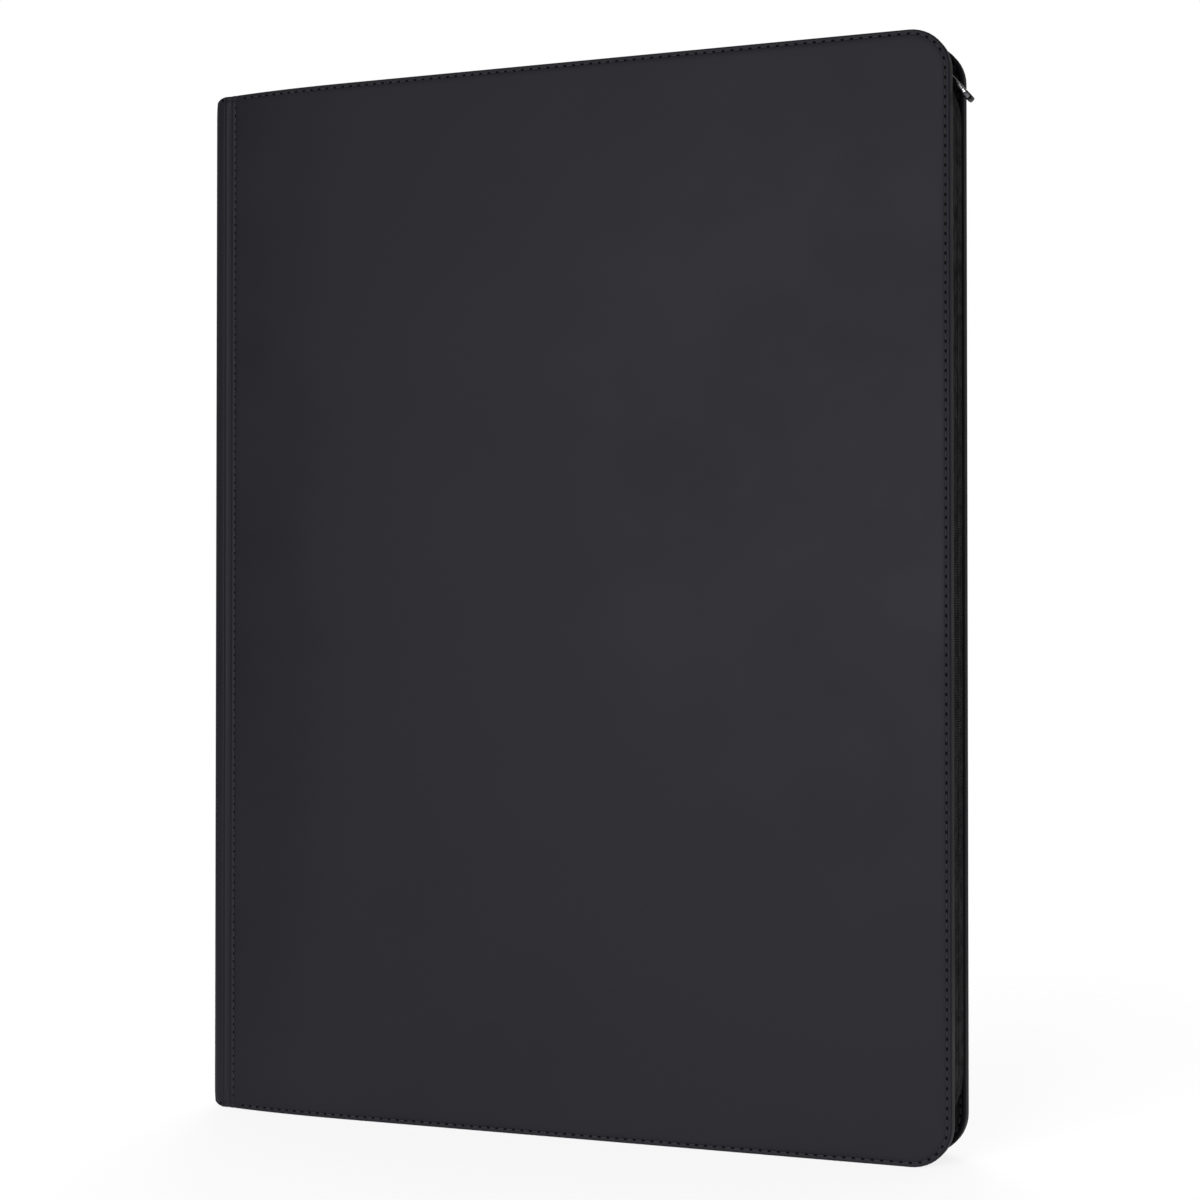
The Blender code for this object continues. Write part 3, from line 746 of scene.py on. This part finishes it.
for face in (-1, 1):
    for column in range(3):
        for row in range(3):
            left = page_low.x + SEAM + column * (pocket_width + SEAM)
            bottom = page_low.z + SEAM + row * (pocket_height + SEAM)
            base = len(film_points)
            cells = 12
            for j in range(cells + 1):
                for i in range(cells + 1):
                    u = 0.5 - 0.5 * math.cos(math.pi * i / cells)
                    v = 0.5 - 0.5 * math.cos(math.pi * j / cells)
                    swell = min(1.0, 3 * math.sin(math.pi * v)) * min(1.0, 0.35 + 3 * (1 - u))
                    swell *= min(1.0, 6 * (1 - u))
                    film_points.append((left + pocket_width * u,
                                        face * (FILM_OUT + FILM_SWELL * swell),
                                        bottom + pocket_height * v))
            film_faces += [quad if face < 0 else quad[::-1]
                           for quad in grid_faces(cells, cells + 1, base)]
sheet_mesh = link_mesh("page_sheet_cut", sheet_points, sheet_faces, page_film)
sheet_mesh.data.shade_flat()
film_mesh = link_mesh("page_film_cut", film_points, film_faces, pocket_film)
for page in page_names:
    low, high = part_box(page)
    for word, cut in (("sheet", sheet_mesh), ("pockets", film_mesh)):
        piece = bpy.data.objects.new(f"{page}_{word}", cut.data)
        bpy.context.collection.objects.link(piece)
        piece.location.y = (low.y + high.y) / 2
        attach(piece, page)
        if word == "sheet":
            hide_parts(page)
for cut in (sheet_mesh, film_mesh):
    bpy.data.objects.remove(cut)


# Zip tapes: woven polyester tape sewn between the skin's turned-in edge and the lining. The ribs
# of its weave run across it. It bulges out a little and covers the coil, which is on the inside.
RIB = 0.75 * MM
RIB_LIFTS = (0.14, -0.02, -0.20)  # mm, at the three places along each rib
tape_cloth, shader, place = new_finish("tape_cloth", 0.88, specular=0.3)
lay = feed(tape_cloth, "UVMap", {}, uv_map="lay")
yarn = feed(tape_cloth, "TexWave", {"Vector": lay, "Scale": 0.5, "Distortion": 0.4}, "Fac",
            bands_direction="Y")
ribs = feed(tape_cloth, "TexWave", {"Vector": lay, "Scale": 0.314, "Phase Offset": 1.57,
                                    "Distortion": 0.5, "Detail": 2.0}, "Fac")
# Painted light and shade: the colour runs from near black to light once per rib, light on the ribs
# and shade between them, broken up by noise.
rib_light_breakup = feed(tape_cloth, "TexNoise", {"Vector": place, "Scale": 240.0, "Detail": 4.0})
painted_rib_light = feed(tape_cloth, "Math", {0: ribs, 1: spread(tape_cloth, rib_light_breakup, 0.1, 1.0)},
              operation="MULTIPLY")
lint = feed(tape_cloth, "TexNoise", {"Vector": place, "Scale": 1500.0, "Detail": 3.0})
tint(tape_cloth, shader, colour_between(tape_cloth, painted_rib_light,
                                        (0.0012, 0.0012, 0.0014), (0.0950, 0.0950, 0.0960)))
vary_roughness(tape_cloth, shader, spread(tape_cloth, lint, 0.8, 0.94))
raise_grain(tape_cloth, shader, yarn, 0.06 * MM, 0.7)

tape_low, tape_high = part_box("front_zip_tape")
bend = Vector(joint_places["zip_travel"])
TAPE_HALF = 0.3 * MM
BEND = tape_high.x - TAPE_HALF - bend.x


def zip_path(start, step):
    """Points (x, z) with their outward normals along the zip's middle line."""
    head_z = bend.z + BEND
    lengths = [bend.x - start, BEND * math.pi / 2, 2 * bend.z - HEIGHT]
    path = []
    for s in np.arange(0, 2 * lengths[0] + 2 * lengths[1] + lengths[2], step):
        flipped = s > lengths[0] + lengths[1] + lengths[2] / 2
        t = 2 * lengths[0] + 2 * lengths[1] + lengths[2] - s if flipped else s
        if t < lengths[0]:
            point, normal = (start + t, head_z), (0.0, 1.0)
        elif t < lengths[0] + lengths[1]:
            turn = (t - lengths[0]) / BEND
            normal = (math.sin(turn), math.cos(turn))
            point = (bend.x + BEND * normal[0], bend.z + BEND * normal[1])
        else:
            normal = (1.0, 0.0)
            point = (bend.x + BEND, bend.z - (t - lengths[0] - lengths[1]))
        if flipped:
            point, normal = (point[0], HEIGHT - point[1]), (normal[0], -normal[1])
        path.append((point, normal))
    return path


# |y| and distance from the zip's middle line, round the tape's section.
TAPE_SECTION = [(8.15, 0.16), (7.6, 0.42), (6.8, 0.66), (5.8, 0.74), (4.8, 0.68), (3.9, 0.50),
                (3.2, 0.48), (2.4, 0.60), (1.8, 0.70), (1.1, 0.72), (0.60, 0.70), (0.40, 0.60),
                (0.40, 0.50), (0.9, 0.46), (1.8, 0.46), (2.4, 0.36), (3.2, 0.18), (3.9, 0.16),
                (5.8, 0.38), (7.2, 0.22), (8.15, -0.16)]
for word, side in COVERS:
    path = zip_path(tape_low.x, RIB / 3)
    points, uvs = [], []
    for index, ((x, z), normal) in enumerate(path):
        rib = RIB_LIFTS[index % 3]
        for spot, (y, out) in enumerate(TAPE_SECTION):
            lift = rib if 0 < spot < 11 and y > 0.5 else 0.0
            away = (out + lift) * MM
            points.append((x + normal[0] * away, side * y * MM, z + normal[1] * away))
            uvs.append((index / 3, y))
    faces = tube_faces(len(path), len(TAPE_SECTION))
    if side > 0:
        faces = [tuple(reversed(face)) for face in faces]
    tape = link_mesh(f"{word}_tape", points, faces, tape_cloth, uvs)
    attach(tape, f"{word}_cover")
    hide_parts(f"{word}_zip_tape")


# Zip coils: nylon monofilament wound into a flat spring and sewn along each tape's edge. The two
# coils' turns lie half a pitch apart so that they mesh.
COIL_PITCH = 1.5 * MM
WIRE = 0.17 * MM  # its radius
COIL_HALF = (1.05 * MM, 0.38 * MM)  # across the tape and out from it
COIL_CENTRE = (0.98 * MM, -0.14 * MM)  # from the parting plane and from the tape's middle
coil_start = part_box("front_zip_coil")[0].x
coil_nylon, shader, place = new_finish("coil_nylon", 0.4, specular=0.5)
drawn = feed(coil_nylon, "TexNoise", {"Vector": place, "Scale": 1800.0, "Detail": 2.0})
mottle(coil_nylon, shader, drawn, (0.007, 0.007, 0.008), (0.014, 0.014, 0.016))
vary_roughness(coil_nylon, shader, spread(coil_nylon, drawn, 0.32, 0.5))
raise_grain(coil_nylon, shader, drawn, 0.02 * MM, 0.6)
for word, side in COVERS:
    per_turn, wire_sides = 12, 5
    offset = COIL_PITCH / 2 if side > 0 else 0.0
    path = zip_path(coil_start + offset, COIL_PITCH / per_turn)
    points, centres = [], []
    for index, ((x, z), normal) in enumerate(path):
        turn = 2 * math.pi * index / per_turn
        away = COIL_CENTRE[1] + COIL_HALF[1] * math.sin(turn)
        y = COIL_CENTRE[0] - COIL_HALF[0] * math.cos(turn)
        centres.append(Vector((x + normal[0] * away, side * y, z + normal[1] * away)))
    for index in range(1, len(centres) - 1):
        along = (centres[index + 1] - centres[index - 1]).normalized()
        normal = Vector((path[index][1][0], 0, path[index][1][1]))
        across = along.cross(normal).normalized()
        out = across.cross(along)
        for k in range(wire_sides):
            turn = 2 * math.pi * k / wire_sides
            points.append(centres[index] + across * WIRE * math.cos(turn)
                          + out * WIRE * math.sin(turn))
    faces = tube_faces(len(centres) - 2, wire_sides)
    coil = link_mesh(f"{word}_coil", points, faces, coil_nylon)
    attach(coil, f"{word}_cover")
    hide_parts(f"{word}_zip_coil")


# Zip stops: small strips of plated metal, crimped over the ends of each coil so that the slider
# can't run off.
gunmetal, shader, place = new_finish("gunmetal", 0.28, metallic=1.0)
cast = feed(gunmetal, "TexNoise", {"Vector": place, "Scale": 700.0, "Detail": 3.0})
handled = feed(gunmetal, "TexNoise", {"Vector": place, "Scale": 240.0, "Detail": 3.0})
mottle(gunmetal, shader, handled, (0.15, 0.15, 0.165), (0.23, 0.23, 0.25))
vary_roughness(gunmetal, shader, spread(gunmetal, cast, 0.22, 0.36))
raise_grain(gunmetal, shader, cast, 0.01 * MM, 0.5)
for word in ("front", "back"):
    for end in ("top", "bottom"):
        low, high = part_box(f"{word}_zip_{end}_stop")
        stop = rounded_bar(f"{word}_{end}_crimp", low, high, 0.25 * MM, gunmetal)
        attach(stop, f"{word}_cover")
        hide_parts(f"{word}_zip_{end}_stop")


# Slider: die-cast zinc, two curved plates on a neck with an arch on the outer one, tumbled so
# that no edge is sharp, and plated.
def soften(name, node, width, finish):
    """The CAD node's own shape with its edges rounded."""
    made = bpy.data.objects.new(name, frame["nodes"][node].data.copy())
    bpy.context.collection.objects.link(made)
    work = bmesh.new()
    work.from_mesh(made.data)
    bmesh.ops.remove_doubles(work, verts=work.verts, dist=0.005 * MM)
    bmesh.ops.dissolve_limit(work, angle_limit=math.radians(2), verts=work.verts, edges=work.edges)
    work.to_mesh(made.data)
    work.free()
    made.data.materials.clear()
    made.data.materials.append(finish)
    bevel = made.modifiers.new("rounding", "BEVEL")
    bevel.width = width
    bevel.segments = 3
    bevel.limit_method = "ANGLE"
    bevel.angle_limit = math.radians(35)
    bpy.context.view_layer.update()
    settle(made)
    made.data.shade_smooth()
    made.data.set_sharp_from_angle(angle=math.radians(40))
    return made


slider = soften("slider", "zip_slider", 0.14 * MM, gunmetal)
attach(slider, "zip_slider")
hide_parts("zip_slider")


# Pull: a flat polished tab of plated zinc, hooked under the slider's arch by a bar between two
# rods, with a thick rounded end to hold. The whole pull is one gunmetal. The tab, rods and bar take
# a bright copy of it, a painted highlight on the tab's face. The end takes a near-black copy,
# painted shade.
# The bright copy of the pull's gunmetal is a painted highlight.
pull_metal_painted_bright, shader, place = new_finish("pull_gunmetal_painted_bright", 0.16, metallic=1.0)
scuffs = feed(pull_metal_painted_bright, "TexNoise", {"Vector": place, "Scale": 900.0, "Detail": 4.0})
mottle(pull_metal_painted_bright, shader, scuffs, (0.50, 0.50, 0.52), (0.62, 0.62, 0.64))
vary_roughness(pull_metal_painted_bright, shader, spread(pull_metal_painted_bright, scuffs, 0.10, 0.24))
raise_grain(pull_metal_painted_bright, shader, scuffs, 0.008 * MM, 0.5)
PIVOT = Vector(joint_places["pull_swing"])
rise_out = Vector((PIVOT.x - bend.x, 0, PIVOT.z - bend.z)).normalized()  # out of the tab's face
hang = Vector((rise_out.z, 0, -rise_out.x))  # down the tab


def loft(name, sections, finish):
    """A closed body through a list of rounded rectangles across the tab."""
    points = []
    corner_steps = 3
    for down, half, inner, outer in sections:
        radius = 0.42 * min(half, (outer - inner) / 2)
        middle, tall = (inner + outer) / 2, (outer - inner) / 2
        for quarter in range(4):
            sign_y = (1, -1, -1, 1)[quarter]
            sign_out = (1, 1, -1, -1)[quarter]
            for step in range(corner_steps + 1):
                turn = math.pi / 2 * (quarter + step / corner_steps)
                y = sign_y * (half - radius) + radius * math.cos(turn)
                out = middle + sign_out * (tall - radius) + radius * math.sin(turn)
                points.append(PIVOT + hang * down * MM + rise_out * out * MM
                              + Vector((0, y * MM, 0)))
    made = link_mesh(name, points, tube_faces(len(sections), 4 * (corner_steps + 1)), finish)
    face_outwards(made)
    made.data.set_sharp_from_angle(angle=math.radians(50))
    return made


# Each section: mm down the tab from the bar, half its width, its inner and its outer face.
tab = loft("pull_tab", [(2.5, 1.9, -0.42, 0.42), (2.7, 2.2, -0.48, 0.48), (3.6, 2.42, -0.5, 0.5),
                        (5.0, 2.47, -0.55, 0.5), (9.0, 2.47, -0.8, 0.5), (13.1, 2.47, -1.2, 0.5)],
           pull_metal_painted_bright)
ROD_OUT = 0.42 * MM
ROD_HALF = 0.45 * MM
bars = []
for word, y in (("left", -1.68 * MM), ("right", 1.68 * MM)):
    rod = rounded_bar(f"pull_{word}_rod", (-ROD_OUT, y - ROD_HALF, -2.75 * MM),
                      (ROD_OUT, y + ROD_HALF, 0.48 * MM), 0.14 * MM, pull_metal_painted_bright)
    bars.append(rod)
bars.append(rounded_bar("pull_bar", (-ROD_OUT, -2.1 * MM, -ROD_HALF),
                        (ROD_OUT, 2.1 * MM, ROD_HALF), 0.2 * MM, pull_metal_painted_bright))
for rod in bars:
    for vertex in rod.data.vertices:
        x, y, z = vertex.co
        vertex.co = PIVOT + rise_out * x - hang * z + Vector((0, y, 0))
    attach(rod, "zip_pull")
# The end's near-black copy of the pull's gunmetal is painted shade.
pull_metal_painted_dark, shader, place = new_finish("pull_metal_painted_dark", 0.34, metallic=1.0)
rubbed_bare = feed(pull_metal_painted_dark, "TexNoise", {"Vector": place, "Scale": 1100.0, "Detail": 3.0})
mottle(pull_metal_painted_dark, shader, rubbed_bare, (0.022, 0.022, 0.025), (0.05, 0.05, 0.055))
vary_roughness(pull_metal_painted_dark, shader, spread(pull_metal_painted_dark, rubbed_bare, 0.28, 0.42))
grip = loft("pull_grip", [(12.9, 2.3, -1.2, 0.3), (13.0, 2.5, -1.45, 0.5), (13.3, 2.5, -1.5, 0.5),
                          (14.9, 2.5, -1.5, 0.5), (15.35, 2.4, -1.4, 0.4), (15.6, 2.1, -1.1, 0.1)],
            pull_metal_painted_dark)
for piece in (tab, grip):
    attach(piece, "zip_pull")
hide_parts("zip_pull")


# Studio: a white floor that fades out round the binder, a white surround that is dimmer in front
# than behind, a key softbox from the front left, one behind, and a weak one at the right.
FLOOR_REACH = 1.5
FLOOR_DROP = 0.2 * MM
floor_mesh = bpy.data.meshes.new("floor")
floor_mesh.from_pydata([(x, y, -FLOOR_DROP) for x, y in (
    (-FLOOR_REACH, -FLOOR_REACH), (FLOOR_REACH, -FLOOR_REACH),
    (FLOOR_REACH, FLOOR_REACH), (-FLOOR_REACH, FLOOR_REACH))], [], [(0, 1, 2, 3)])
floor = bpy.data.objects.new("floor", floor_mesh)
bpy.context.collection.objects.link(floor)
paper, shader, place = new_finish("floor_paper", 0.9, specular=0.1)
distance = feed(paper, "VectorMath", {0: place}, "Value", operation="LENGTH")
fade = feed(paper, "MapRange", {"Value": distance, "From Min": 0.18, "From Max": 0.6,
                                "To Min": 0.55, "To Max": 1.0}, interpolation_type="SMOOTHSTEP")
shader.inputs["Base Color"].default_value = (0.9, 0.9, 0.9, 1)
shader.inputs["Emission Color"].default_value = (1, 1, 1, 1)
shader.inputs["Emission Strength"].default_value = 0.62
clear = feed(paper, "BsdfTransparent", {})
faded = feed(paper, "MixShader", {0: fade, 1: shader.outputs[0], 2: clear})
tree = paper.node_tree
tree.links.new(faded, tree.nodes["Material Output"].inputs[0])
floor_mesh.materials.append(paper)

scene = bpy.context.scene
scene.view_settings.view_transform = "Standard"
world = bpy.data.worlds.new("surround")
world.use_nodes = True
scene.world = world
tree = world.node_tree
surround = tree.nodes["Background"]
surround.inputs["Color"].default_value = (1, 1, 1, 1)
heading = feed(world, "TexCoord", {}, "Generated")
towards_back = feed(world, "SeparateXYZ", {0: heading}, "Y")
backdrop = feed(world, "MapRange", {"Value": towards_back, "From Min": 0.0, "From Max": 0.7,
                                    "To Min": 0.10, "To Max": 0.40},
                interpolation_type="SMOOTHSTEP")
tree.links.new(backdrop, surround.inputs["Strength"])
seen = feed(world, "Background", {"Color": (1, 1, 1, 1), "Strength": 1.0})
from_camera = feed(world, "LightPath", {}, "Is Camera Ray")
choice = feed(world, "MixShader", {0: from_camera, 1: surround.outputs[0], 2: seen})
tree.links.new(choice, tree.nodes["World Output"].inputs[0])


def softbox(name, place, target, size, power):
    """A square area light that faces its target."""
    lamp = bpy.data.lights.new(name, "AREA")
    lamp.size = size
    lamp.energy = power
    made = bpy.data.objects.new(name, lamp)
    bpy.context.collection.objects.link(made)
    made.location = place
    made.rotation_euler = (Vector(target) - Vector(place)).to_track_quat("-Z", "Y").to_euler()


softbox("key", (-0.12, -1.35, 0.32), (0.02, 0.0, 0.18), 0.7, 15.0)
softbox("back", (-0.5, 1.4, 0.55), (0.0, 0.0, 0.18), 0.8, 8.0)
softbox("fill", (1.1, -1.0, 0.8), (0.1, 0.0, 0.18), 0.8, 0.4)

TURN = math.radians(20.93)
PITCH = math.radians(0.79)
ASIDE = 151.5 * MM  # of the camera from the fore edge
AHEAD = 695.7 * MM  # of it from the front face
BELOW = 10.9 * MM  # of it from half height
camera_data = bpy.data.cameras.new("camera")
camera_data.lens = 69.18
camera = bpy.data.objects.new("camera", camera_data)
bpy.context.collection.objects.link(camera)
camera.location = (FORE_X + ASIDE, -HALF - AHEAD, HEIGHT / 2 - BELOW)
camera.rotation_euler = (math.pi / 2 + PITCH, 0, TURN)
scene.camera = camera
